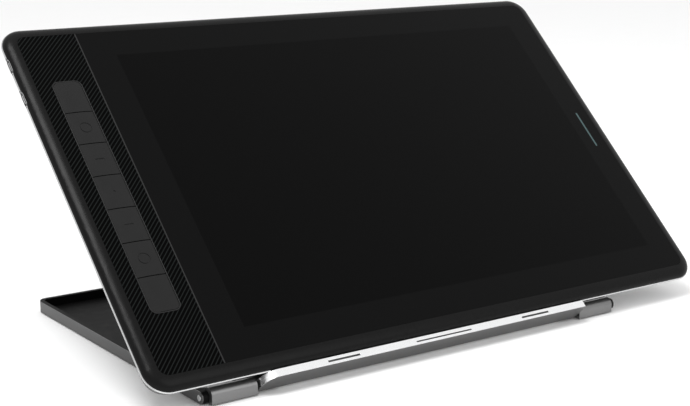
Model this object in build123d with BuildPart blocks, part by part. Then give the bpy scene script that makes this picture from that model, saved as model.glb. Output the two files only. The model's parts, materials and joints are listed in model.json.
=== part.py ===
from build123d import *
import os
from math import atan2, cos, hypot, radians, sin, tan

# Pen drawing tablet resting on a folding easel stand. Millimetres.
# Frame: origin on the ground under the middle of the whole object, +X to the user's right,
# +Y to the back, +Z up. The tablet leans back by `tilt`, and everything on it is drawn on
# planes of its own: `deck` runs through the hinge line, `face` is the front of the glass.

# Driving sizes: the stand
tilt = 43.05             # angle between the ground and the tablet
fold_angle = 0.0         # lowest tilt, everything flat
steep_angle = 55.0       # highest tilt
feet_height = 0.6
hinge_height = 3.1       # hinge line above the underside of the tray
base_width = 278.0
base_depth = 193.5       # from the hinge line to the back of the tray
base_wall_height = 6.2
base_wall = 2.6
base_floor = 1.0
base_corner = 6.0
cheek_thickness = 3.4
cheek_length = 14.0
floor_front = 5.0        # where the floor starts behind the hinge line
cover_thickness = 0.5
stand_offset = -17.45    # middle of the stand, left of the middle of the tablet
barrel_length = 26.0
barrel_front = 5.3       # front of a barrel, ahead of the hinge line
barrel_radius = 4.0      # round top of a barrel
barrel_top = 4.9         # top of a barrel above the hinge line
barrel_leaf = (20.0, 16.0, 1.0)
barrel_end_gap = 0.1
leaf_screw_place = (6.7, 5.3)   # from the middle of a barrel, and from the end of its leaf
pin_radius = 1.5
pin_head_height = 0.4
bush_wall = 0.7
boss_radius = 3.0
boss_length = 12.0
washer_rim = 1.1         # washer outside the pin
washer_thickness = 0.6
washer_gap = 0.2         # between a barrel and its washer
bore_clearance = 0.05    # radial, for a pin that turns
side_gap = 0.5           # between pieces that swing past each other

# Driving sizes: support plate, lip and leg
plate_width = 216.0
fold_gap = 4.9           # between the folded plate and the back wall of the tray
plate_thickness = 3.0
plate_corner = 8.0
lip_thickness = 4.2
lip_front = 3.8          # front of the lip, ahead of the hinge line
lip_height = 12.1
lip_corner = 9.0
lip_slots = ((-60.0, 19.8, 1.0), (5.2, 37.4, 0.7), (70.4, 19.8, 1.0))
slot_inset = 1.5         # front of the lip to the front of a slot
slot_depth = 2.5
pad_thickness = 0.8
pad_size = (150.0, 14.0)
pad_corner = 3.5
pad_inset = (30.0, 10.0)    # lower pad from the hinge line, upper pad from the top edge
leg_margin = 30.0        # plate left above the place where the folded foot lies
leg_width = 56.0
leg_thickness = 2.6
window_margin = (8.0, 7.0)  # window beyond the leg pivot and beyond the folded foot
window_corner = 4.0
pivot_height = 1.5       # pivot above the underside of the plate
pivot_rod_radius = 0.8
foot_rod_radius = 0.9
roller_radius = 1.3
roller_clearance = 0.25
rail_thickness = 2.0
rail_height = 4.8
rail_flange = (6.0, 0.8)
rail_end = 1.5           # metal beyond each end of the slot
detent_depth = 0.35
detent_angles = (20.0, 32.0, tilt, steep_angle)
block_size = (9.0, 8.0)
block_flange = (16.0, 10.0, 0.8)
block_screw_edge = 2.5   # screw axis from the end of the flange

# Driving sizes: the tablet
tablet_width = 373.0
tablet_height = 228.4
tablet_corner = 12.8
tablet_thickness = 11.0
tablet_gap = 0.3         # between the tablet and the pads
lip_gap = 0.1            # between the tablet and the lip
rim_width = 7.6          # outer edge to the edge of the glass
rim_depth = 4.0          # rounded part of the rim
trim_bevel = 0.4
trim_depth = 4.7         # bottom of the bright band
back_taper = 3.2
back_round = 2.0
case_wall = 1.8
case_floor = 1.4
ledge_width = 2.5
glass_thickness = 1.1
fit_gap = 0.1            # round a panel that is laid into a frame
strip_width = 34.5
divider_width = 0.7
active_width = 286.5
active_height = 179.1
active_gap = 18.75       # from the divider to the picture

# Driving sizes: keys
key_count = 7
bezel_width = 17.0
bezel_length = 147.5
bezel_corner = 4.0
bezel_ring = 0.5
bezel_proud = 0.2
bezel_round = 0.17
key_inset = 17.2         # middle of the keys from the left edge of the glass
key_centre_u = 0.45
key_gap = 0.5
key_side_gap = 0.2
key_proud = 0.25
key_thickness = 1.6
key_flange = 0.8
key_flange_reach = 0.6
key_crown_radius = 90.0
key_travel = 0.7
key_stem_radius = 2.0
key_stem_end = 3.4       # below the glass
mark_depth = 0.15
circle_mark = 3.3
mark_line = 0.45
dash_mark = (5.0, 0.8)
dot_mark = 0.6

# Driving sizes: inside the tablet, depths below the front of the glass
lcd_thickness = 1.4
lcd_border = (8.0, 9.5)
backlight_thickness = 2.4
frame_thickness = 2.8
sensor_thickness = 0.6
shield_thickness = 0.5
layer_gap = 0.1
board_thickness = 1.0
dome_radius = 3.0
dome_height = 0.5
dome_round = 0.3
main_board_depth = 6.4
main_board_size = (40.0, 120.0)
flex_width = 24.0
flex_thickness = 0.3
flex_overlap = 8.0       # ribbon on the main board
usb_rows = (90.5, 68.0)
usb_depth = 4.6          # middle of the socket below the glass
usb_size = (8.9, 3.2, 7.4)
usb_wall = 0.3
usb_back = 0.9
usb_tongue = 0.7
usb_pocket = (11.4, 4.6, 0.5)
power_inset = 46.5       # button from the right edge
power_size = (12.0, 2.4)
power_proud = 0.5
power_travel = 0.4
power_depth = 7.4
power_length = 3.2
case_screw = (1.4, 2.5)
foot_pad = (14.0, 30.0, 1.2)
foot_pad_corner = 3.0
foot_pad_round = 0.4
foot_pad_inset = (20.7, 29.4)
base_foot = (16.0, 8.0)
base_foot_corner = 2.6
base_foot_inset = 14.0
small_screw = (1.25, 1.9)   # shank and head radius
tiny_screw = (0.9, 1.5)
hex_size = 0.55          # socket, as a share of the head radius
sink_angle = 82.0
case_screw_inset = (7.7, 7.9)   # from the side edges, and from the top and bottom edges
case_screw_columns = (-120.0, 0.0, 120.0)
case_screw_row = -50.0
boss_wall = 1.1

# Worked out from the sizes above
slope = radians(tilt)
hinge_z = feet_height + hinge_height
lip_nose = -lip_front * cos(slope) - lip_height * sin(slope)
hinge_y = -(base_depth + lip_nose) / 2
tray_top = feet_height + base_wall_height
floor_top = feet_height + base_floor
back_height = plate_thickness + pad_thickness + tablet_gap
face_height = back_height + tablet_thickness
edge_start = -lip_front + lip_thickness + lip_gap
plate_length = base_depth - base_wall - fold_gap
leg_reach = (plate_length - leg_margin) / 2   # hinge line to leg pivot, and leg pivot to foot
pivot_reach = hypot(leg_reach, pivot_height)
pivot_angle = atan2(pivot_height, leg_reach)
tray_half = base_width / 2 - cover_thickness
cheek_inner = tray_half - cheek_thickness
barrel_inner = cheek_inner - barrel_end_gap - barrel_length
rail_x = leg_width / 2 + side_gap + rail_thickness / 2
rail_outer = rail_x + rail_thickness / 2
window_half = rail_outer + 3 * side_gap
window_start = leg_reach - window_margin[0]
window_end = 2 * leg_reach + window_margin[1]

deck = Plane(origin=(0, hinge_y, hinge_z), x_dir=(1, 0, 0), z_dir=(0, -sin(slope), cos(slope)))
face = Plane(
    origin=deck.from_local_coords(Vector(0, edge_start + tablet_height / 2, face_height)),
    x_dir=(1, 0, 0),
    z_dir=deck.z_dir,
)
ground = Plane(origin=(stand_offset, hinge_y, 0))
hinge_side = Plane(origin=(stand_offset, hinge_y, hinge_z), x_dir=(0, 1, 0), z_dir=(1, 0, 0))
deck_side = Plane(
    origin=deck.from_local_coords(Vector(stand_offset, 0, 0)), x_dir=deck.y_dir, z_dir=(1, 0, 0)
)
stand_deck = Plane(origin=deck_side.origin, x_dir=(1, 0, 0), z_dir=deck.z_dir)

os.makedirs("parts", exist_ok=True)


def save(piece, name):
    piece.part.label = name
    export_step(piece.part, f"parts/{name}.step")


def foot_place(angle):
    """How far behind the hinge line the foot stands when the plate is raised to an angle."""
    return 2 * pivot_reach * cos(radians(angle) + pivot_angle)


def port_plane(row):
    """On the left edge, x up the tablet, z out of the socket."""
    return Plane(
        origin=face.from_local_coords(Vector(-tablet_width / 2, row, -usb_depth)),
        x_dir=face.y_dir,
        z_dir=-face.x_dir,
    )


def cut_ports():
    for row in usb_rows:
        with BuildSketch(port_plane(row)) as pocket:
            SlotOverall(usb_pocket[0], usb_pocket[1])
        extrude(pocket.sketch, amount=-usb_pocket[2], mode=Mode.SUBTRACT)
        with BuildSketch(port_plane(row)) as passage:
            SlotOverall(usb_size[0] + 2 * fit_gap, usb_size[1] + 2 * fit_gap)
        reach = usb_pocket[2] + usb_size[2] + fit_gap
        extrude(passage.sketch, amount=-reach, mode=Mode.SUBTRACT)


def sink_depth(size):
    return (size[1] - size[0]) / tan(radians(sink_angle / 2))


def add_screws(places, size, length):
    """Countersunk screws, heads flush with the planes' origins and shanks going down."""
    with Locations(*places):
        Cylinder(size[0], length, align=(Align.CENTER, Align.CENTER, Align.MAX))
        Cone(size[0], size[1], sink_depth(size), align=(Align.CENTER, Align.CENTER, Align.MAX))
    for place in places:
        with BuildSketch(place) as socket_outline:
            RegularPolygon(size[1] * hex_size, 6)
        extrude(socket_outline.sketch, amount=-sink_depth(size) / 2, mode=Mode.SUBTRACT)


def sink_holes(places, size, depth):
    with Locations(*places):
        CounterSinkHole(
            size[0] + bore_clearance, size[1] + bore_clearance, depth, sink_angle
        )


# Tablet shells
with BuildSketch(face) as outline_face:
    RectangleRounded(tablet_width, tablet_height, tablet_corner)
outline = outline_face.sketch.face().outer_wire()
corner_start = face.from_local_coords(
    Vector(-tablet_width / 2 + tablet_corner, -tablet_height / 2, 0)
)
# On this plane x runs outwards from the outer edge and y is the height above the glass.
rim_section = Plane(origin=corner_start, x_dir=-face.y_dir, z_dir=-face.x_dir)
case_inside = -tablet_thickness + case_floor
case_back = face.offset(-tablet_thickness)
screw_side = tablet_width / 2 - case_screw_inset[0]
screw_end = tablet_height / 2 - case_screw_inset[1]
case_screw_spots = [(x, side * screw_end) for x in case_screw_columns for side in (-1, 1)]
case_screw_spots += [(side * screw_side, case_screw_row) for side in (-1, 1)]
case_boss_radius = case_screw[0] + boss_wall
back_places = [
    Plane(
        origin=case_back.from_local_coords(Vector(x, row, 0)), x_dir=face.x_dir, z_dir=-face.z_dir
    )
    for x, row in case_screw_spots
]

with BuildPart() as front_shell:
    with BuildSketch(rim_section):
        with BuildLine():
            EllipticalCenterArc(
                (-rim_width, -rim_depth), rim_width - trim_bevel, rim_depth, 0, arc_size=90
            )
            Polyline(
                (-rim_width, 0),
                (-rim_width, -glass_thickness),
                (-rim_width - ledge_width, -glass_thickness),
                (-rim_width - ledge_width, -rim_depth),
                (-trim_bevel, -rim_depth),
            )
        make_face()
    sweep(path=outline)
    with BuildSketch(face.offset(-rim_depth)):
        with Locations(*case_screw_spots):
            Circle(case_boss_radius)
            Circle(case_screw[0] + bore_clearance, mode=Mode.SUBTRACT)
    extrude(amount=case_inside + rim_depth)
    cut_ports()
save(front_shell, "front_shell")

with BuildPart() as trim_band:
    with BuildSketch(rim_section):
        with BuildLine():
            Polyline(
                (-trim_bevel, -rim_depth),
                (0, -rim_depth - trim_bevel),
                (0, -trim_depth),
                (-rim_width / 2, -trim_depth),
                (-rim_width / 2, -rim_depth),
                close=True,
            )
        make_face()
    sweep(path=outline)
    cut_ports()
save(trim_band, "trim_band")

power_plane = Plane(
    origin=face.from_local_coords(
        Vector(tablet_width / 2 - power_inset, tablet_height / 2, -power_depth)
    ),
    x_dir=face.x_dir,
    z_dir=face.y_dir,
)
power_wall = back_taper * (power_depth - trim_depth) / (tablet_thickness - trim_depth)
with BuildPart() as rear_case:
    with BuildSketch(rim_section) as wall_profile:
        with BuildLine():
            Polyline(
                (0, -trim_depth),
                (-back_taper, -tablet_thickness),
                (-rim_width, -tablet_thickness),
                (-rim_width, case_inside),
                (-back_taper - case_wall, case_inside),
                (-case_wall, -trim_depth),
                close=True,
            )
        make_face()
        fillet(wall_profile.vertices().group_by(Axis.Y)[0].sort_by(Axis.X)[-1], back_round)
    sweep(path=outline)
    with BuildSketch(case_back):
        RectangleRounded(
            tablet_width - 2 * rim_width + 2 * fit_gap,
            tablet_height - 2 * rim_width + 2 * fit_gap,
            tablet_corner - rim_width + fit_gap,
        )
    extrude(amount=case_floor)
    cut_ports()
    with BuildSketch(power_plane):
        SlotOverall(power_size[0] + 2 * key_side_gap, power_size[1] + 2 * key_side_gap)
    extrude(amount=-power_wall - 2 * case_wall, mode=Mode.SUBTRACT)
    sink_holes(back_places, case_screw, case_floor)
save(rear_case, "rear_case")

with BuildPart() as case_screws:
    add_screws(back_places, case_screw, tablet_thickness - rim_depth)
save(case_screws, "case_screws")

with BuildPart() as tablet_feet:
    with BuildSketch(case_back):
        with GridLocations(
            tablet_width - 2 * foot_pad_inset[0], tablet_height - 2 * foot_pad_inset[1], 2, 2
        ):
            RectangleRounded(foot_pad[0], foot_pad[1], foot_pad_corner)
    extrude(amount=-foot_pad[2])
    fillet(tablet_feet.edges().group_by(Axis(case_back.origin, -face.z_dir))[-1], foot_pad_round)
save(tablet_feet, "tablet_feet")

# Front panels, laid into the rim
panel_width = tablet_width - 2 * rim_width - 2 * fit_gap
panel_height = tablet_height - 2 * rim_width - 2 * fit_gap
panel_corner = tablet_corner - rim_width - fit_gap
panel_left = -tablet_width / 2 + rim_width
strip_end = panel_left + strip_width
active_offset = strip_end + active_gap + active_width / 2
key_centre_x = panel_left + key_inset
key_pitch = (bezel_length - 2 * bezel_ring - 2 * key_side_gap + key_gap) / key_count
key_spots = [
    (key_centre_x, key_centre_u + key_pitch * ((key_count - 1) / 2 - number))
    for number in range(key_count)
]
key_size = (bezel_width - 2 * bezel_ring - 2 * key_side_gap, key_pitch - key_gap)
mark_low = mark_depth + circle_mark**2 / (2 * key_crown_radius)   # floor below the crown's top


def panel(start, end):
    """The part of the rounded front opening between two x values, as the pending sketch."""
    RectangleRounded(panel_width, panel_height, panel_corner)
    with Locations(((start + end) / 2, 0)):
        Rectangle(end - start, panel_height, mode=Mode.INTERSECT)


with BuildPart() as cover_glass:
    with BuildSketch(face):
        panel(strip_end + divider_width / 2, tablet_width / 2)
    extrude(amount=-glass_thickness)
save(cover_glass, "cover_glass")

with BuildPart() as strip_panel:
    with BuildSketch(face):
        panel(-tablet_width / 2, strip_end - divider_width / 2)
        with Locations((key_centre_x, key_centre_u)):
            RectangleRounded(
                bezel_width + fit_gap, bezel_length + fit_gap, bezel_corner, mode=Mode.SUBTRACT
            )
    extrude(amount=-glass_thickness)
save(strip_panel, "strip_panel")

with BuildPart() as glass_divider:
    with BuildSketch(face):
        with Locations((strip_end, 0)):
            Rectangle(divider_width, panel_height)
    extrude(amount=-glass_thickness)
save(glass_divider, "glass_divider")

with BuildPart() as key_bezel:
    with BuildSketch(face.offset(bezel_proud)):
        with Locations((key_centre_x, key_centre_u)):
            RectangleRounded(bezel_width, bezel_length, bezel_corner)
            RectangleRounded(
                bezel_width - 2 * bezel_ring,
                bezel_length - 2 * bezel_ring,
                bezel_corner - bezel_ring,
                mode=Mode.SUBTRACT,
            )
    extrude(amount=-bezel_proud - glass_thickness)
    fillet(key_bezel.edges().group_by(Axis(face.origin, face.z_dir))[-1], bezel_round)
save(key_bezel, "key_bezel")


def mark_sketch(number):
    """Tactile marks: a ring on two keys, a dash on two, a dot on the middle one."""
    if number in (1, 5):
        Circle(circle_mark)
        Circle(circle_mark - mark_line, mode=Mode.SUBTRACT)
    if number in (2, 4):
        Rectangle(*dash_mark)
    if number == 3:
        Circle(dot_mark)


for number, spot in enumerate(key_spots):
    key_top = face.offset(key_proud)
    key_origin = key_top.from_local_coords(Vector(*spot))
    key_plane = Plane(origin=key_origin, x_dir=face.x_dir, z_dir=face.z_dir)
    with BuildPart() as key:
        with BuildSketch(key_plane) as key_outline:
            Rectangle(*key_size)
            end_corners = key_outline.vertices().group_by(Axis.Y)
            if number == 0:
                fillet(end_corners[-1], bezel_corner - bezel_ring - key_side_gap)
            if number == key_count - 1:
                fillet(end_corners[0], bezel_corner - bezel_ring - key_side_gap)
        extrude(amount=-key_thickness)
        with BuildSketch(key_plane.offset(-key_thickness)):
            Rectangle(key_size[0] + 2 * key_flange_reach, key_size[1] - 2 * bezel_corner)
        extrude(amount=-key_flange)
        with BuildSketch(key_plane.offset(-key_thickness - key_flange)):
            Circle(key_stem_radius)
        extrude(amount=-key_stem_end - key_proud + key_thickness + key_flange)
        crown_axis = key_plane.offset(-key_crown_radius)
        with Locations(Plane(origin=crown_axis.origin, x_dir=face.x_dir, z_dir=face.y_dir)):
            Cylinder(key_crown_radius, 2 * key_pitch, mode=Mode.INTERSECT)
        if number not in (0, key_count - 1):
            with BuildSketch(key_plane.offset(-mark_low)):
                mark_sketch(number)
            extrude(amount=mark_low, mode=Mode.SUBTRACT)
    save(key, f"key_{number + 1}")

# Inside the tablet
lcd_size = (active_width + 2 * lcd_border[0], active_height + 2 * lcd_border[1])


def layer(depth, size, thickness):
    """A flat board behind the picture area."""
    with BuildSketch(face.offset(-depth)) as board:
        with Locations((active_offset, 0)):
            Rectangle(*size)
    extrude(board.sketch, amount=-thickness)


lcd_depth = glass_thickness
backlight_depth = lcd_depth + lcd_thickness
sensor_depth = backlight_depth + backlight_thickness + layer_gap
shield_depth = sensor_depth + sensor_thickness + layer_gap

with BuildPart() as lcd_panel:
    layer(lcd_depth, lcd_size, lcd_thickness)
save(lcd_panel, "lcd_panel")

with BuildPart() as backlight_unit:
    layer(backlight_depth, lcd_size, backlight_thickness)
save(backlight_unit, "backlight_unit")

with BuildPart() as pen_sensor_board:
    layer(sensor_depth, lcd_size, sensor_thickness)
save(pen_sensor_board, "pen_sensor_board")

with BuildPart() as shield_plate:
    layer(shield_depth, lcd_size, shield_thickness)
save(shield_plate, "shield_plate")

well_size = (key_size[0] + 2 * key_flange_reach + 2 * side_gap, bezel_length)
with BuildPart() as mid_frame:
    with BuildSketch(face.offset(-glass_thickness)):
        RectangleRounded(
            panel_width - 2 * ledge_width,
            panel_height - 2 * ledge_width,
            panel_corner - ledge_width,
        )
        with Locations((active_offset, 0)):
            Rectangle(
                lcd_size[0] + 2 * fit_gap, lcd_size[1] + 2 * fit_gap, mode=Mode.SUBTRACT
            )
        with Locations((key_centre_x, key_centre_u)):
            Rectangle(*well_size, mode=Mode.SUBTRACT)
    extrude(amount=-frame_thickness)
save(mid_frame, "mid_frame")

key_board_depth = key_stem_end + key_travel + 2 * layer_gap + dome_height
with BuildPart() as key_board:
    with BuildSketch(face.offset(-key_board_depth)):
        with Locations((key_centre_x, key_centre_u)):
            Rectangle(*well_size)
    extrude(amount=-board_thickness)
save(key_board, "key_board")

with BuildPart() as key_domes:
    with BuildSketch(face.offset(-key_board_depth)):
        with Locations(*key_spots):
            Circle(dome_radius)
    extrude(amount=dome_height)
    fillet(key_domes.edges().group_by(Axis(face.origin, face.z_dir))[-1], dome_round)
save(key_domes, "key_domes")

board_left = -tablet_width / 2 + back_taper + case_wall
board_top = tablet_height / 2 - tablet_corner + fit_gap
with BuildPart() as main_board:
    with BuildSketch(face.offset(-main_board_depth)):
        with Locations((board_left + main_board_size[0] / 2, board_top - main_board_size[1] / 2)):
            Rectangle(*main_board_size)
    extrude(amount=-board_thickness)
save(main_board, "main_board")

flex_start = board_left + main_board_size[0] - flex_overlap
flex_end = active_offset - lcd_size[0] / 2
flex_side = Plane(
    origin=face.from_local_coords(Vector(0, board_top - main_board_size[1] / 2, 0)),
    x_dir=face.x_dir,
    z_dir=-face.y_dir,
)
flex_rise = main_board_depth - sensor_depth - sensor_thickness
with BuildPart() as display_flex:
    with BuildSketch(flex_side):
        with BuildLine():
            low = -main_board_depth
            high = low + flex_rise
            bend = flex_end - 2 * flex_rise
            Polyline(
                (flex_start, low),
                (bend - flex_rise, low),
                (bend, high),
                (flex_end, high),
                (flex_end, high + flex_thickness),
                (bend, high + flex_thickness),
                (bend - flex_rise, low + flex_thickness),
                (flex_start, low + flex_thickness),
                close=True,
            )
        make_face()
    extrude(amount=flex_width / 2, both=True)
save(display_flex, "display_flex")

for name, row in (("usb_socket_upper", usb_rows[0]), ("usb_socket_lower", usb_rows[1])):
    mouth = port_plane(row).offset(-usb_pocket[2])
    with BuildPart() as socket:
        with BuildSketch(mouth):
            SlotOverall(usb_size[0], usb_size[1])
        extrude(amount=-usb_size[2])
        with BuildSketch(mouth):
            SlotOverall(usb_size[0] - 2 * usb_wall, usb_size[1] - 2 * usb_wall)
            Rectangle(usb_size[0] - usb_size[1], usb_tongue, mode=Mode.SUBTRACT)
        extrude(amount=-usb_size[2] + usb_back, mode=Mode.SUBTRACT)
    save(socket, name)

power_front = -power_wall + power_proud
flange_low = power_depth + power_size[1] / 2 + key_flange_reach
inside_taper = back_taper * (flange_low - trim_depth) / (-case_inside - trim_depth)
power_flange = -case_wall - inside_taper - key_side_gap
with BuildPart() as power_button:
    with BuildSketch(power_plane.offset(power_front)):
        SlotOverall(*power_size)
    extrude(amount=power_flange - power_front)
    fillet(
        power_button.edges().group_by(Axis(power_plane.origin, face.y_dir))[-1], power_proud / 2
    )
    with BuildSketch(power_plane.offset(power_flange)):
        SlotOverall(
            power_size[0] + 2 * key_flange_reach, power_size[1] + 2 * key_flange_reach
        )
    extrude(amount=-key_flange)
save(power_button, "power_button")

switch_low = -case_inside - power_depth
with BuildPart() as power_switch:
    with BuildSketch(power_plane.offset(power_flange - key_flange - power_travel - layer_gap)):
        with Locations((0, (switch_low - power_size[1] / 2) / 2)):
            Rectangle(power_size[0] / 2, switch_low + power_size[1] / 2)
    extrude(amount=-power_length)
save(power_switch, "power_switch")

# Stand, the base


def floor_places(spots, height):
    return [
        Plane(origin=ground.from_local_coords(Vector(x, y, height)), x_dir=(1, 0, 0), z_dir=(0, 0, 1))
        for x, y in spots
    ]


rail_start = foot_place(steep_angle) - roller_radius - roller_clearance - rail_end
rail_finish = foot_place(fold_angle) + roller_radius + roller_clearance + rail_end
barrel_middle = barrel_inner + barrel_length / 2
leaf_end = barrel_radius * 2 - barrel_front + barrel_leaf[1]
leaf_spots = [
    (side * barrel_middle + shift, leaf_end - leaf_screw_place[1])
    for side in (-1, 1)
    for shift in (-leaf_screw_place[0], leaf_screw_place[0])
]
rail_spots = [
    (side * (rail_outer + rail_flange[0] / 2), y)
    for side in (-1, 1)
    for y in (rail_start + rail_flange[0], rail_finish - rail_flange[0])
]
leaf_places = floor_places(leaf_spots, floor_top + barrel_leaf[2])
rail_places = floor_places(rail_spots, floor_top + rail_flange[1])

with BuildPart() as base_tray:
    with BuildSketch(ground.offset(feet_height)) as tray_outline:
        with Locations((0, base_depth / 2)):
            Rectangle(2 * tray_half, base_depth)
        fillet(tray_outline.vertices().group_by(Axis.Y)[-1], base_corner)
    extrude(amount=base_wall_height)
    with BuildSketch(ground.offset(floor_top)) as tray_inside:
        with Locations((0, (base_depth - base_wall) / 2)):
            Rectangle(2 * (tray_half - base_wall), base_depth - base_wall)
        fillet(tray_inside.vertices().group_by(Axis.Y)[-1], base_corner - base_wall)
    extrude(amount=base_wall_height, mode=Mode.SUBTRACT)
    with BuildSketch(ground.offset(feet_height)):
        with Locations((0, floor_front / 2)):
            Rectangle(2 * cheek_inner, floor_front)
    extrude(amount=base_wall_height, mode=Mode.SUBTRACT)
    for side in (-1, 1):
        with BuildSketch(ground.offset(feet_height)):
            with Locations((side * (cheek_inner + cheek_thickness / 2), cheek_length / 2)):
                Rectangle(cheek_thickness, cheek_length)
        extrude(amount=base_wall_height)
        with BuildSketch(hinge_side.offset(side * tray_half)):
            Circle(hinge_height)
        extrude(amount=-side * cheek_thickness)
        with BuildSketch(hinge_side.offset(side * tray_half)):
            Circle(pin_radius)
        extrude(amount=-side * cheek_thickness, mode=Mode.SUBTRACT)
    with Locations(*leaf_places, *rail_places):
        Hole(small_screw[0] + bore_clearance, base_floor + 2 * barrel_leaf[2])
save(base_tray, "base_tray")

with BuildPart() as base_screws:
    add_screws(leaf_places, small_screw, base_floor + barrel_leaf[2])
    add_screws(rail_places, small_screw, base_floor + rail_flange[1])
save(base_screws, "base_screws")

for name, side in (("left", -1), ("right", 1)):
    with BuildPart() as cover:
        with BuildSketch(hinge_side.offset(side * tray_half)):
            Circle(hinge_height)
            with Locations(((base_depth - base_corner) / 2, base_wall_height / 2 - hinge_height)):
                Rectangle(base_depth - base_corner, base_wall_height)
            Circle(pin_radius, mode=Mode.SUBTRACT)
        extrude(amount=side * cover_thickness)
    save(cover, f"side_cover_{name}")

    with BuildPart() as barrel:
        with BuildSketch(hinge_side.offset(side * (barrel_inner + barrel_length))) as section:
            arch = barrel_radius - barrel_front
            with Locations((arch, barrel_top - barrel_radius)):
                Circle(barrel_radius)
            with Locations((arch, (barrel_top - barrel_radius - hinge_height) / 2)):
                Rectangle(2 * barrel_radius, hinge_height + barrel_top - barrel_radius)
            Circle(pin_radius, mode=Mode.SUBTRACT)
        extrude(amount=-side * barrel_length)
        with BuildSketch(ground.offset(floor_top)):
            with Locations((side * barrel_middle, leaf_end - barrel_leaf[1] / 2)):
                Rectangle(barrel_leaf[0], barrel_leaf[1])
        extrude(amount=barrel_leaf[2])
        sink_holes([place for place in leaf_places if place.origin.X * side > stand_offset * side],
                   small_screw, barrel_leaf[2])
    save(barrel, f"hinge_barrel_{name}")

    pin_end = plate_width / 2 - boss_length
    with BuildPart() as pin:
        with BuildSketch(hinge_side.offset(side * (base_width / 2))):
            Circle(pin_radius)
        extrude(amount=-side * (base_width / 2 - pin_end))
        with BuildSketch(hinge_side.offset(side * (base_width / 2))):
            Circle(pin_radius + fit_gap)
        extrude(amount=side * pin_head_height)
        fillet(pin.edges().sort_by(Axis.X)[-1 if side > 0 else 0], pin_head_height / 2)
    save(pin, f"hinge_pin_{name}")

    with BuildPart() as rail:
        with BuildSketch(hinge_side.offset(side * (rail_x - rail_thickness / 2))) as rail_outline:
            with Locations(
                ((rail_start + rail_finish) / 2, floor_top + rail_height / 2 - hinge_z)
            ):
                Rectangle(rail_finish - rail_start, rail_height)
            fillet(rail_outline.vertices().group_by(Axis.Y)[-1], rail_end)
            with Locations(((rail_start + rail_finish) / 2, 0)):
                SlotOverall(
                    rail_finish - rail_start - 2 * rail_end,
                    2 * (roller_radius + roller_clearance),
                    mode=Mode.SUBTRACT,
                )
            with Locations(*[(foot_place(angle), -detent_depth) for angle in detent_angles]):
                Circle(roller_radius + roller_clearance, mode=Mode.SUBTRACT)
        extrude(amount=side * rail_thickness)
        with BuildSketch(ground.offset(floor_top)):
            with Locations(
                (side * (rail_outer + rail_flange[0] / 2), (rail_start + rail_finish) / 2)
            ):
                Rectangle(rail_flange[0], rail_finish - rail_start)
        extrude(amount=rail_flange[1])
        sink_holes([place for place in rail_places if place.origin.X * side > stand_offset * side],
                   small_screw, rail_flange[1])
    save(rail, f"guide_rail_{name}")

with BuildPart() as hinge_washers:
    for side in (-1, 1):
        with BuildSketch(hinge_side.offset(side * (barrel_inner - washer_gap))):
            Circle(pin_radius + washer_rim)
            Circle(pin_radius, mode=Mode.SUBTRACT)
        extrude(amount=-side * washer_thickness)
save(hinge_washers, "hinge_washers")

with BuildPart() as base_feet:
    with BuildSketch(ground):
        for y in (base_foot_inset, base_depth - base_foot_inset):
            with Locations((-tray_half + base_foot_inset, y), (tray_half - base_foot_inset, y)):
                RectangleRounded(base_foot[0], base_foot[1], base_foot_corner)
    extrude(amount=feet_height)
save(base_feet, "base_feet")

# Stand, the plate that leans back and the leg that props it
block_x = leg_width / 2 + side_gap + block_size[0] / 2
block_screw_x = leg_width / 2 + side_gap + block_flange[0] - block_screw_edge
under_places = [
    Plane(
        origin=stand_deck.from_local_coords(Vector(side * block_screw_x, leg_reach, -block_flange[2])),
        x_dir=(1, 0, 0),
        z_dir=-deck.z_dir,
    )
    for side in (-1, 1)
]
with BuildPart() as support_plate:
    with BuildSketch(stand_deck) as plate_outline:
        with Locations((0, (plate_length - lip_front) / 2)):
            Rectangle(plate_width, plate_length + lip_front)
        fillet(plate_outline.vertices().group_by(Axis.Y)[-1], plate_corner)
        with Locations((0, (window_start + window_end) / 2)):
            RectangleRounded(
                2 * window_half, window_end - window_start, window_corner, mode=Mode.SUBTRACT
            )
        with Locations((-block_x, leg_reach), (block_x, leg_reach)):
            Rectangle(block_size[0], block_size[1], mode=Mode.SUBTRACT)
    extrude(amount=plate_thickness)
    lip_plane = Plane(
        origin=stand_deck.from_local_coords(Vector(0, -lip_front, 0)),
        x_dir=(1, 0, 0),
        z_dir=-deck.y_dir,
    )
    with BuildSketch(lip_plane) as lip_outline:
        with Locations((0, lip_height / 2)):
            Rectangle(plate_width, lip_height)
        fillet(lip_outline.vertices().group_by(Axis.Y)[-1].sort_by(Axis.X)[0], lip_corner)
    extrude(amount=-lip_thickness)
    for side in (-1, 1):
        with BuildSketch(hinge_side.offset(side * plate_width / 2)):
            Circle(boss_radius)
        extrude(amount=-side * boss_length)
        with BuildSketch(hinge_side.offset(side * plate_width / 2)):
            Circle(pin_radius + bush_wall)
        extrude(amount=-side * boss_length, mode=Mode.SUBTRACT)
    with BuildSketch(stand_deck.offset(lip_height)):
        for middle, length, width in lip_slots:
            with Locations((middle, -lip_front + slot_inset + width / 2)):
                Rectangle(length, width)
    extrude(amount=-slot_depth, mode=Mode.SUBTRACT)
    with Locations(*under_places):
        with Locations((0, 0, -block_flange[2])):
            Hole(tiny_screw[0] + bore_clearance, plate_thickness - side_gap)
save(support_plate, "support_plate")

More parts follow.
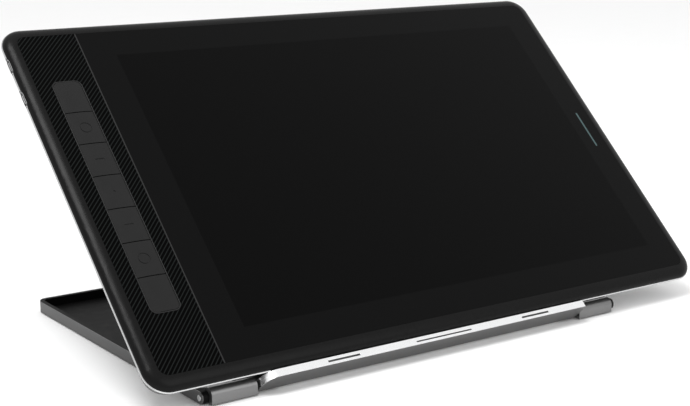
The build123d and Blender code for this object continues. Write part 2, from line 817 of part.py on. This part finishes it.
for name, side in (("left", -1), ("right", 1)):
    with BuildPart() as bush:
        with BuildSketch(hinge_side.offset(side * plate_width / 2)):
            Circle(pin_radius + bush_wall)
            Circle(pin_radius + bore_clearance, mode=Mode.SUBTRACT)
        extrude(amount=-side * boss_length)
    save(bush, f"hinge_bush_{name}")

    with BuildPart() as block:
        with BuildSketch(stand_deck):
            with Locations((side * block_x, leg_reach)):
                Rectangle(block_size[0], block_size[1])
        extrude(amount=plate_thickness)
        with BuildSketch(stand_deck):
            with Locations(
                (side * (leg_width / 2 + side_gap + block_flange[0] / 2), leg_reach)
            ):
                Rectangle(block_flange[0], block_flange[1])
        extrude(amount=-block_flange[2])
        pivot_side = Plane(
            origin=stand_deck.from_local_coords(Vector(0, leg_reach, pivot_height)),
            x_dir=deck.y_dir,
            z_dir=(1, 0, 0),
        )
        with BuildSketch(pivot_side):
            Circle(pivot_rod_radius + bore_clearance)
        extrude(amount=side * (block_x + block_size[0] / 2), mode=Mode.SUBTRACT)
        sink_holes(
            [place for place in under_places if place.origin.X * side > stand_offset * side],
            tiny_screw,
            block_flange[2],
        )
    save(block, f"pivot_block_{name}")

with BuildPart() as plate_screws:
    add_screws(under_places, tiny_screw, block_flange[2] + plate_thickness - side_gap)
save(plate_screws, "plate_screws")

with BuildPart() as plate_pads:
    with BuildSketch(stand_deck.offset(plate_thickness)):
        for row in (pad_inset[0], plate_length - pad_inset[1]):
            with Locations((0, row)):
                RectangleRounded(pad_size[0], pad_size[1], pad_corner)
    extrude(amount=pad_thickness)
save(plate_pads, "plate_pads")

leg_slot_shift = leg_width / 4
leg_slot_width = leg_width / 6
leg_slot_length = pivot_reach / 2
pivot = stand_deck.from_local_coords(Vector(0, leg_reach, pivot_height))
foot = Vector(stand_offset, hinge_y + foot_place(tilt), hinge_z)
leg_side = Plane(origin=pivot, x_dir=(foot - pivot).normalized(), z_dir=(1, 0, 0))
leg_face = Plane(origin=pivot, x_dir=(1, 0, 0), z_dir=Vector(1, 0, 0).cross(leg_side.x_dir))
with BuildPart() as prop_leg:
    with BuildSketch(leg_side):
        with Locations((pivot_reach / 2, 0)):
            SlotCenterToCenter(pivot_reach, leg_thickness)
        Circle(pivot_rod_radius, mode=Mode.SUBTRACT)
        with Locations((pivot_reach, 0)):
            Circle(foot_rod_radius, mode=Mode.SUBTRACT)
    extrude(amount=leg_width / 2, both=True)
    with BuildSketch(leg_face):
        for side in (-1, 1):
            with Locations((side * leg_slot_shift, pivot_reach / 2)):
                SlotOverall(leg_slot_length, leg_slot_width, rotation=90)
    extrude(amount=leg_thickness, both=True, mode=Mode.SUBTRACT)
save(prop_leg, "prop_leg")

with BuildPart() as pivot_rod:
    with BuildSketch(leg_side):
        Circle(pivot_rod_radius)
    extrude(amount=block_x + block_size[0] / 2 - side_gap, both=True)
save(pivot_rod, "pivot_rod")

with BuildPart() as foot_rod:
    with BuildSketch(leg_side):
        with Locations((pivot_reach, 0)):
            Circle(foot_rod_radius)
    extrude(amount=rail_outer + side_gap, both=True)
save(foot_rod, "foot_rod")

with BuildPart() as foot_rollers:
    for side in (-1, 1):
        with BuildSketch(leg_side.offset(side * (rail_outer + side_gap))):
            with Locations((pivot_reach, 0)):
                Circle(roller_radius)
                Circle(foot_rod_radius, mode=Mode.SUBTRACT)
        extrude(amount=-side * (rail_thickness + side_gap))
save(foot_rollers, "foot_rollers")
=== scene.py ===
import json
from math import atan, radians

import bmesh
import bpy
from mathutils import Matrix, Vector


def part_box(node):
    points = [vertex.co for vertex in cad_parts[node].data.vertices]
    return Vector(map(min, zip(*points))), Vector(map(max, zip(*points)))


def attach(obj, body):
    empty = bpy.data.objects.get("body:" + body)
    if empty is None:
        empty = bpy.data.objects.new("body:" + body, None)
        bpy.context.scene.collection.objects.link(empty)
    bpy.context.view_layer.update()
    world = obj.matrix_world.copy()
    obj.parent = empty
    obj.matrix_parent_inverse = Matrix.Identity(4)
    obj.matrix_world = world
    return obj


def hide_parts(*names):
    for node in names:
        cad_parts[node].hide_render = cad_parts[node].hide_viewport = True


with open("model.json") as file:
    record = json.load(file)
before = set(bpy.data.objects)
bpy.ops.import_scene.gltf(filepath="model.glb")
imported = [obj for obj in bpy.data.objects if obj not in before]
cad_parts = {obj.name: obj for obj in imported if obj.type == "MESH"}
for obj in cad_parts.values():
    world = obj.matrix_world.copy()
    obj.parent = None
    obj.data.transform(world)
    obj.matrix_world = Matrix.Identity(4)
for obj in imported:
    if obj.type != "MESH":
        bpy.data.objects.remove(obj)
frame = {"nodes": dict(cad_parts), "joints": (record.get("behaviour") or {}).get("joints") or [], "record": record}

mm = 0.001
scene = bpy.context.scene
nodes = frame["nodes"]
bodyOf = {
    node: body
    for body, members in frame["record"]["behaviour"]["bodies"].items()
    for node in members
}
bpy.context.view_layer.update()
print("frame loaded:", len(nodes), "nodes")

# Directions and places, all read from the frame.
joints = {joint["name"]: joint for joint in frame["joints"]}
hinge = Vector(joints["easel_tilt"]["pos_m"])
outward = -Vector(joints["key_1_press"]["axis"]).normalized()      # out of the glass
across = Vector((1, 0, 0))
upward = outward.cross(across)                                     # up the glass


def middle(node):
    low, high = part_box(node)
    return (low + high) / 2


glass = {"thickness": 1.1 * mm}
glassMiddle = middle("cover_glass")
faceOrigin = Vector((0, glassMiddle.y, glassMiddle.z)) + outward * glass["thickness"] / 2
faceTurn = Matrix((across, upward, outward)).transposed().to_4x4()
facePlace = Matrix.Translation(faceOrigin) @ faceTurn
tilt = atan(upward.z / upward.y)

# Camera
camera = {
    "place": (-0.4798, -0.6698, 0.2466),
    "towards": (0.5640, 0.7970, -0.2170),
    "lens": 75.25,
    "sensor": 36.0,
}
lensData = bpy.data.cameras.new("camera")
lensData.lens = camera["lens"]
lensData.sensor_width = camera["sensor"]
lensData.clip_start = 0.01
cameraObject = bpy.data.objects.new("camera", lensData)
scene.collection.objects.link(cameraObject)
cameraObject.location = camera["place"]
cameraObject.rotation_euler = Vector(camera["towards"]).to_track_quat("-Z", "Y").to_euler()
bpy.context.scene.camera = cameraObject
scene.view_settings.view_transform = "Standard"
print("camera placed")


# Shader building
class Wire:
    # a socket that takes part in Python sums
    def __init__(self, finish, socket):
        self.finish = finish
        self.socket = socket

    def maths(self, operation, *terms):
        return self.finish.node("ShaderNodeMath", {"operation": operation}, dict(enumerate(terms)))

    def __add__(self, other):
        return self.maths("ADD", self, other)

    def __radd__(self, other):
        return self.maths("ADD", other, self)

    def __sub__(self, other):
        return self.maths("SUBTRACT", self, other)

    def __rsub__(self, other):
        return self.maths("SUBTRACT", other, self)

    def __mul__(self, other):
        return self.maths("MULTIPLY", self, other)

    def __rmul__(self, other):
        return self.maths("MULTIPLY", other, self)

    def __truediv__(self, other):
        return self.maths("DIVIDE", self, other)

    def __rtruediv__(self, other):
        return self.maths("DIVIDE", other, self)

    def __gt__(self, other):
        return self.maths("GREATER_THAN", self, other)

    def __lt__(self, other):
        return self.maths("LESS_THAN", self, other)

    def __abs__(self):
        return self.maths("ABSOLUTE", self)


class Finish:
    def __init__(self, name, metallic=0.0, specular=0.5):
        self.material = bpy.data.materials.new(name)
        self.material.use_nodes = True
        self.tree = self.material.node_tree
        self.shader = self.tree.nodes["Principled BSDF"]
        self.shader.inputs["Metallic"].default_value = metallic
        self.shader.inputs["Specular IOR Level"].default_value = specular
        self.place = self.node("ShaderNodeTexCoord", output="Object")

    def join(self, socket, value):
        if isinstance(value, Wire):
            self.tree.links.new(value.socket, socket)
        else:
            socket.default_value = value

    def node(self, kind, settings=None, sockets=None, output=0):
        made = self.tree.nodes.new(kind)
        for name, value in (settings or {}).items():
            if name == "stops":
                ramp = made.color_ramp.elements
                while len(ramp) < len(value):
                    ramp.new(0.5)
                for element, (position, shade) in zip(ramp, value):
                    element.position = position
                    element.color = (shade, shade, shade, 1)
            else:
                setattr(made, name, value)
        for name, value in (sockets or {}).items():
            self.join(made.inputs[name], value)
        return Wire(self, made.outputs[output])

    def mapped(self, scale=(1, 1, 1), turn=(0, 0, 0), shift=(0, 0, 0)):
        return self.node("ShaderNodeMapping", None, {
            "Vector": self.place, "Scale": scale, "Rotation": turn, "Location": shift,
        })

    def noise(self, scale, detail=2.0, place=None):
        return self.node("ShaderNodeTexNoise", None, {
            "Vector": place or self.place, "Scale": scale, "Detail": detail,
        })

    def cells(self, scale, place=None):
        return self.node("ShaderNodeTexVoronoi", None, {
            "Vector": place or self.place, "Scale": scale,
        })

    def ramp(self, value, *stops):
        return self.node("ShaderNodeValToRGB", {"stops": stops}, {"Fac": value})

    def mix(self, amount, first, second):
        ends = {0: amount, 6: first, 7: second}
        return self.node("ShaderNodeMix", {"data_type": "RGBA"}, ends, 2)

    def axes(self, place):
        split = self.node("ShaderNodeSeparateXYZ", None, {0: place})
        return [Wire(self, socket) for socket in split.socket.node.outputs]

    def bump(self, height, depth):
        return self.node("ShaderNodeBump", None, {
            "Height": height, "Distance": depth, "Strength": 1.0,
        })

    def show(self, **sockets):
        for name, value in sockets.items():
            self.join(self.shader.inputs[name.replace("_", " ")], value)
        return self.material


def shade(level, warmth=1.0):
    return (level * warmth, level, level / warmth, 1)


def mouldedFinish(name, look):
    # plastic or rubber out of a textured mould: fine grain, slow variation, a few rubbed patches
    common = {
        "cloud": 40, "rubbedFrom": 0.45, "rubbedTo": 0.75, "grainRough": 0.10, "rubbedRough": 0.06,
    }
    made = Finish(name, specular=look.get("specular", 0.5))
    grain = made.noise(look["grain"], 3)
    cloud = made.noise(common["cloud"], 2)
    patches = made.noise(common["cloud"] * 4, 4)
    rubbed = made.ramp(patches, (common["rubbedFrom"], 0), (common["rubbedTo"], 1))
    colour = made.mix(cloud * 0.6 + grain * 0.4, shade(look["dark"]), shade(look["light"]))
    rough = look["rough"] + (grain - 0.5) * common["grainRough"] - rubbed * common["rubbedRough"]
    return made.show(Base_Color=colour, Roughness=rough, Normal=made.bump(grain, look["relief"]))


def metalFinish(name, look):
    # drawn or brushed metal: long streaks along one direction over a faint mottling
    common = {"mottle": 60, "mottleRough": 0.06, "warmth": 0.995}
    made = Finish(name, metallic=1.0)
    streaks = made.noise(look["streaks"], 4, made.mapped(scale=look["stretch"]))
    mottle = made.noise(common["mottle"], 3)
    darkEnd = shade(look["dark"], common["warmth"])
    lightEnd = shade(look["light"], common["warmth"])
    colour = made.mix(streaks * 0.6 + mottle * 0.4, darkEnd, lightEnd)
    rough = (look["rough"] + (streaks - 0.5) * look["roughSpread"]
             + (mottle - 0.5) * common["mottleRough"])
    return made.show(Base_Color=colour, Roughness=rough, Normal=made.bump(streaks, look["relief"]))


def blastedFinish(name, look):
    # bead-blasted and anodised metal: tiny sparkling pits
    common = {"cloud": 35, "fineRough": 0.16, "cloudRough": 0.06}
    made = Finish(name, metallic=look["metallic"], specular=look.get("specular", 0.5))
    pits = made.cells(look["pits"])
    cloud = made.noise(common["cloud"], 3)
    fine = made.noise(look["pits"] * 0.6, 2)
    colour = made.mix(fine * 0.5 + cloud * 0.5, shade(look["dark"]), shade(look["light"]))
    rough = (look["rough"] + (fine - 0.5) * common["fineRough"]
             + (cloud - 0.5) * common["cloudRough"])
    return made.show(Base_Color=colour, Roughness=rough, Normal=made.bump(pits, look["relief"]))


# Coordinates on the glass: x across, y up, z out, measured from its middle
def onGlass(made):
    centred = made.mapped(shift=tuple(-faceOrigin))
    flat = made.node("ShaderNodeMapping", None, {"Vector": centred, "Rotation": (-tilt, 0, 0)})
    return made.axes(flat)


def panelFinish():
    look = {
        "picture": (286.5 * mm, 179.1 * mm), "pictureX": 17.6 * mm, "blur": 0.5 * mm,
        "border": 0.0022, "dark": 0.0006, "rough": 0.24,
        "etch": 9000, "smear": 14, "relief": 0.0015 * mm, "warmth": 0.99,
    }
    made = Finish("glassOverDisplay", specular=0.055)
    x, y, z = onGlass(made)
    besideX = abs(x - look["pictureX"]) - look["picture"][0] / 2
    besideY = abs(y) - look["picture"][1] / 2
    outside = made.node("ShaderNodeMath", {"operation": "MAXIMUM"}, {0: besideX, 1: besideY})
    border = made.node("ShaderNodeMath", {"operation": "ADD", "use_clamp": True}, {
        0: outside / look["blur"], 1: 0.5,
    })
    etch = made.noise(look["etch"], 2)
    smear = made.noise(look["smear"], 3)
    pictureColour = shade(look["dark"], look["warmth"])
    borderColour = shade(look["border"], look["warmth"])
    colour = made.mix(border, pictureColour, borderColour)
    rough = look["rough"] + (etch - 0.5) * 0.05 + (smear - 0.5) * 0.04
    return made.show(Base_Color=colour, Roughness=rough, Normal=made.bump(etch, look["relief"]))


def stripFinish():
    look = {
        "pitch": 1.85 * mm, "share": 0.27, "blur": 0.07, "dark": 0.0006, "line": 0.0115,
        "rough": 0.30, "lineRough": 0.5, "grain": 5000, "relief": 0.02 * mm, "shift": 400,
    }
    made = Finish("linedStrip", specular=0.02)
    x, y, z = onGlass(made)
    along = (y - x) * (0.5 ** 0.5) / look["pitch"]
    sweep = made.node("ShaderNodeMath", {"operation": "FRACT"}, {0: along + look["shift"]})
    line = made.ramp(abs(sweep - 0.5) * 2,
                     (look["share"] - look["blur"], 1), (look["share"] + look["blur"], 0))
    grain = made.noise(look["grain"], 2)
    lineColour = (look["line"] * 0.88, look["line"], look["line"] * 0.98, 1)
    colour = made.mix(line, shade(look["dark"]), lineColour)
    rough = look["rough"] + line * (look["lineRough"] - look["rough"]) + (grain - 0.5) * 0.05
    return made.show(Base_Color=colour, Roughness=rough, Normal=made.bump(line, look["relief"]))


def boardFinish(name, look):
    # solder mask over copper tracks, with bare pads
    common = {
        "trackHalf": 0.22, "gaps": 0.45, "padSize": 0.16, "copper": (0.45, 0.33, 0.12, 1),
        "rough": 0.35, "roughSpread": 0.12, "relief": 0.03 * mm, "shift": 400,
    }
    made = Finish(name, specular=0.5)
    x, y, z = made.axes(made.mapped(turn=(-tilt, 0, 0)))
    bend = made.noise(60, 1) * look["wander"]
    lane = made.node("ShaderNodeMath", {"operation": "FRACT"}, {
        0: (x + bend) / look["lane"] + common["shift"],
    })
    track = (abs(lane - 0.5) < common["trackHalf"]) * (made.noise(45, 0) > common["gaps"])
    pad = made.cells(look["pads"]) < common["padSize"]
    mask = made.mix(track, look["mask"], look["track"])
    colour = made.mix(pad, mask, common["copper"])
    rough = common["rough"] + made.noise(900, 2) * common["roughSpread"]
    height = made.bump(track + pad, common["relief"])
    return made.show(Base_Color=colour, Roughness=rough, Normal=height)


finishes = {
    "rim_black": mouldedFinish("rimBlack", {
        "dark": 0.0030, "light": 0.0046, "rough": 0.30, "grain": 5200, "relief": 0.0005 * mm,
        "specular": 0.105}),
    "bright_trim": metalFinish("brightTrim", {
        "dark": 0.52, "light": 0.64, "rough": 0.14, "roughSpread": 0.08, "streaks": 900,
        "stretch": (0.03, 1, 1), "relief": 0.001 * mm}),
    "case_grey": blastedFinish("caseGrey", {
        "metallic": 0.35, "dark": 0.085, "light": 0.110, "rough": 0.46, "pits": 4200,
        "relief": 0.012 * mm,
        "specular": 0.25}),
    "screw_steel": metalFinish("screwSteel", {
        "dark": 0.10, "light": 0.19, "rough": 0.36, "roughSpread": 0.15, "streaks": 3500,
        "stretch": (1, 1, 1), "relief": 0.004 * mm}),
    "rubber_black": mouldedFinish("rubberBlack", {
        "dark": 0.008, "light": 0.016, "rough": 0.78, "grain": 2600, "relief": 0.02 * mm,
        "specular": 0.3}),
    "panel_glass": panelFinish(),
    "strip_gloss": stripFinish(),
    "line_grey": mouldedFinish("lineGrey", {
        "dark": 0.012, "light": 0.018, "rough": 0.42, "grain": 6000, "relief": 0.002 * mm,
        "specular": 0.2}),
    "key_black": mouldedFinish("keyBlack", {
        "dark": 0.0030, "light": 0.0045, "rough": 0.36, "grain": 6500, "relief": 0.001 * mm,
        "specular": 0.26}),
    "lcd_black": mouldedFinish("lcdBlack", {
        "dark": 0.006, "light": 0.010, "rough": 0.12, "grain": 3000, "relief": 0.001 * mm}),
    "reflector_white": mouldedFinish("reflectorWhite", {
        "dark": 0.66, "light": 0.76, "rough": 0.55, "grain": 1500, "relief": 0.01 * mm}),
    "board_green": boardFinish("boardGreen", {
        "lane": 1.6 * mm, "wander": 1.5 * mm, "pads": 260, "mask": (0.008, 0.075, 0.032, 1),
        "track": (0.016, 0.13, 0.055, 1)}),
    "sheet_steel": metalFinish("sheetSteel", {
        "dark": 0.42, "light": 0.56, "rough": 0.34, "roughSpread": 0.12, "streaks": 500,
        "stretch": (0.05, 1, 1), "relief": 0.004 * mm}),
    "dome_steel": metalFinish("domeSteel", {
        "dark": 0.52, "light": 0.66, "rough": 0.2, "roughSpread": 0.08, "streaks": 3000,
        "stretch": (1, 1, 1), "relief": 0.002 * mm}),
    "flex_amber": boardFinish("flexAmber", {
        "lane": 0.9 * mm, "wander": 0.0, "pads": 90, "mask": (0.30, 0.12, 0.018, 1),
        "track": (0.38, 0.17, 0.03, 1)}),
    "tray_black": mouldedFinish("trayBlack", {
        "dark": 0.0025, "light": 0.0050, "rough": 0.60, "grain": 2400, "relief": 0.02 * mm,
        "specular": 0.08}),
    "hinge_silver": blastedFinish("hingeSilver", {
        "metallic": 0.9, "dark": 0.165, "light": 0.215, "rough": 0.32, "pits": 5200,
        "relief": 0.006 * mm}),
    "pin_steel": metalFinish("pinSteel", {
        "dark": 0.62, "light": 0.78, "rough": 0.2, "roughSpread": 0.1, "streaks": 4000,
        "stretch": (1, 1, 1), "relief": 0.002 * mm}),
    "plate_silver": blastedFinish("plateSilver", {
        "metallic": 0.9, "dark": 0.150, "light": 0.180, "rough": 0.40, "pits": 5000,
        "relief": 0.006 * mm}),
    "cover_grey": blastedFinish("coverGrey", {
        "metallic": 0.8, "dark": 0.085, "light": 0.115, "rough": 0.40, "pits": 5200,
        "relief": 0.006 * mm}),
    "nylon_black": mouldedFinish("nylonBlack", {
        "dark": 0.012, "light": 0.02, "rough": 0.5, "grain": 3000, "relief": 0.008 * mm}),
    "bush_brass": metalFinish("bushBrass", {
        "dark": 0.45, "light": 0.58, "rough": 0.28, "roughSpread": 0.1, "streaks": 3000,
        "stretch": (1, 1, 1), "relief": 0.002 * mm}),
}
slotOf = {}
for name, node in nodes.items():
    for place in node.material_slots:
        slotOf[name] = place.material.name.split(".")[0]
        place.material = finishes[slotOf[name]]
print("finishes made:", len(finishes))


# A copy of a node with its edges broken, as a moulding or a milled part has them
softening = {"merge": 0.002 * mm, "flat": radians(0.8), "sharp": radians(28), "segments": 2}


def softened(node, width, polished=None):
    source = nodes[node]
    mesh = bpy.data.meshes.new(node + "_finished")
    work = bmesh.new()
    work.from_mesh(source.data)
    bmesh.ops.remove_doubles(work, verts=work.verts, dist=softening["merge"])
    bmesh.ops.dissolve_limit(work, angle_limit=softening["flat"], verts=work.verts,
                             edges=work.edges, use_dissolve_boundaries=False)
    for facet in work.faces:
        facet.smooth = True
        # faces picked by the second argument take a near-white metal, a painted highlight
        facet.material_index = int(bool(polished and polished(facet)))
    work.to_mesh(mesh)
    work.free()
    mesh.materials.append(finishes[slotOf[node]])
    if polished:
        mesh.materials.append(paintedHighlightEdge)
    finished = bpy.data.objects.new(node + "_finished", mesh)
    scene.collection.objects.link(finished)
    mesh.set_sharp_from_angle(angle=softening["sharp"])
    bevel = finished.modifiers.new("edges", "BEVEL")
    bevel.width = width
    bevel.segments = softening["segments"]
    bevel.limit_method = "ANGLE"
    bevel.angle_limit = softening["sharp"]
    bevel.harden_normals = True
    bevel.use_clamp_overlap = True
    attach(finished, bodyOf[node])
    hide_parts(node)


edges = {
    "base_tray": 0.35 * mm, "side_cover_left": 0.12 * mm, "side_cover_right": 0.12 * mm,
    "hinge_barrel_left": 0.35 * mm, "hinge_barrel_right": 0.35 * mm,
    "support_plate": 0.3 * mm, "prop_leg": 0.3 * mm,
    "guide_rail_left": 0.15 * mm, "guide_rail_right": 0.15 * mm,
    "pivot_block_left": 0.15 * mm, "pivot_block_right": 0.15 * mm,
    "base_feet": 0.12 * mm, "plate_pads": 0.15 * mm,
}
# The rim of the lip gets a near-white copy of the plate metal, a painted highlight; its broad faces stay satin.
paintedHighlightEdge = metalFinish("paintedHighlightEdge", {
    "dark": 0.90, "light": 0.98, "rough": 0.24, "roughSpread": 0.1, "streaks": 1500,
    "stretch": (0.05, 1, 1), "relief": 0.001 * mm})


lipEdge = {"facing": 0.3, "above": 2.5 * mm, "before": 0.6 * mm}   # from the hinge line


# picks the lip's edge faces that carry the painted highlight
def onLipEdge(facet):
    place = facet.calc_center_median() - hinge
    return (abs(facet.normal.dot(upward)) < lipEdge["facing"]
            and place.dot(outward) > lipEdge["above"] and place.dot(upward) < lipEdge["before"])


# the support plate's edge faces get the painted highlight
for node, width in edges.items():
    softened(node, width, polished=onLipEdge if node == "support_plate" else None)
print("edges broken on", len(edges), "pieces")


def piece(name, work, finish, body):
    mesh = bpy.data.meshes.new(name)
    work.to_mesh(mesh)
    work.free()
    mesh.materials.append(finish)
    made = bpy.data.objects.new(name, mesh)
    scene.collection.objects.link(made)
    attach(made, body)
    return made


# Printed bar on the border of the glass, a plain mark in place of a name
printedBar = {
    "place": (170.1 * mm, 0.0), "length": 27 * mm, "width": 1.3 * mm, "ink": 0.015 * mm,
    "roundness": 0.49, "rough": 0.45, "speck": 4000,
    "dark": (0.030, 0.062, 0.064, 1), "light": (0.045, 0.085, 0.088, 1),
}


def inkFinish():
    made = Finish("tealInk", specular=0.4)
    speck = made.noise(printedBar["speck"], 3)
    colour = made.mix(speck, printedBar["dark"], printedBar["light"])
    return made.show(Base_Color=colour, Roughness=printedBar["rough"] + speck * 0.1)


work = bmesh.new()
bmesh.ops.create_cube(work, size=1.0)
barSize = (printedBar["width"], printedBar["length"], printedBar["ink"])
bmesh.ops.scale(work, vec=barSize, verts=work.verts)
upright = [
    edge for edge in work.edges
    if abs(edge.verts[0].co.z - edge.verts[1].co.z) > printedBar["ink"] / 2
]
bmesh.ops.bevel(work, geom=upright, offset=printedBar["width"] * printedBar["roundness"],
                offset_type="OFFSET", segments=6, profile=0.5, affect="EDGES", material=-1)
bmesh.ops.translate(work, vec=(*printedBar["place"], printedBar["ink"] / 2), verts=work.verts)
bmesh.ops.transform(work, matrix=facePlace, verts=work.verts)
piece("printed_bar", work, inkFinish(), "tablet")
print("printed bar laid")


# Room: a pale floor, a pale wall of light that darkens overhead, and two soft lamps
room = {
    "floor": 24.0, "floorLevel": 0.965, "floorSpread": 0.02, "floorRough": 0.75,
    "horizon": 1.0, "horizonAt": 0.05, "overhead": 0.92, "overheadAt": 0.60,
}
work = bmesh.new()
bmesh.ops.create_circle(work, cap_ends=True, radius=room["floor"] / 2, segments=96)
floorMesh = bpy.data.meshes.new("floor")
work.to_mesh(floorMesh)
work.free()
floor = bpy.data.objects.new("floor", floorMesh)
scene.collection.objects.link(floor)
made = Finish("paleFloor", specular=0.2)
paper = made.noise(30, 3)
floorLight = shade(room["floorLevel"] + room["floorSpread"])
floorColour = made.mix(paper, shade(room["floorLevel"]), floorLight)
floorMesh.materials.append(made.show(Base_Color=floorColour, Roughness=room["floorRough"]))

world = bpy.data.worlds.new("room")
world.use_nodes = True
scene.world = world
sky = world.node_tree
background = sky.nodes["Background"]
direction = sky.nodes.new("ShaderNodeTexCoord")
split = sky.nodes.new("ShaderNodeSeparateXYZ")
fade = sky.nodes.new("ShaderNodeValToRGB")
sky.links.new(direction.outputs["Generated"], split.inputs[0])
sky.links.new(split.outputs["Z"], fade.inputs["Fac"])
sky.links.new(fade.outputs["Color"], background.inputs["Color"])
for element, name in zip(fade.color_ramp.elements, ("horizon", "overhead")):
    element.position = room[name + "At"]
    element.color = (room[name],) * 3 + (1,)

lamps = {
    "lampAbove": {"place": (-0.52, -0.20, 1.30), "size": 0.55, "power": 10},
    "lampFront": {"place": (0.5, -1.7, 1.0), "size": 1.2, "power": 6},
}
for name, lamp in lamps.items():
    light = bpy.data.lights.new(name, "AREA")
    light.shape = "SQUARE"
    light.size = lamp["size"]
    light.energy = lamp["power"]
    holder = bpy.data.objects.new(name, light)
    scene.collection.objects.link(holder)
    holder.location = lamp["place"]
    holder.rotation_euler = (-Vector(lamp["place"])).to_track_quat("-Z", "Y").to_euler()
print("room lit")
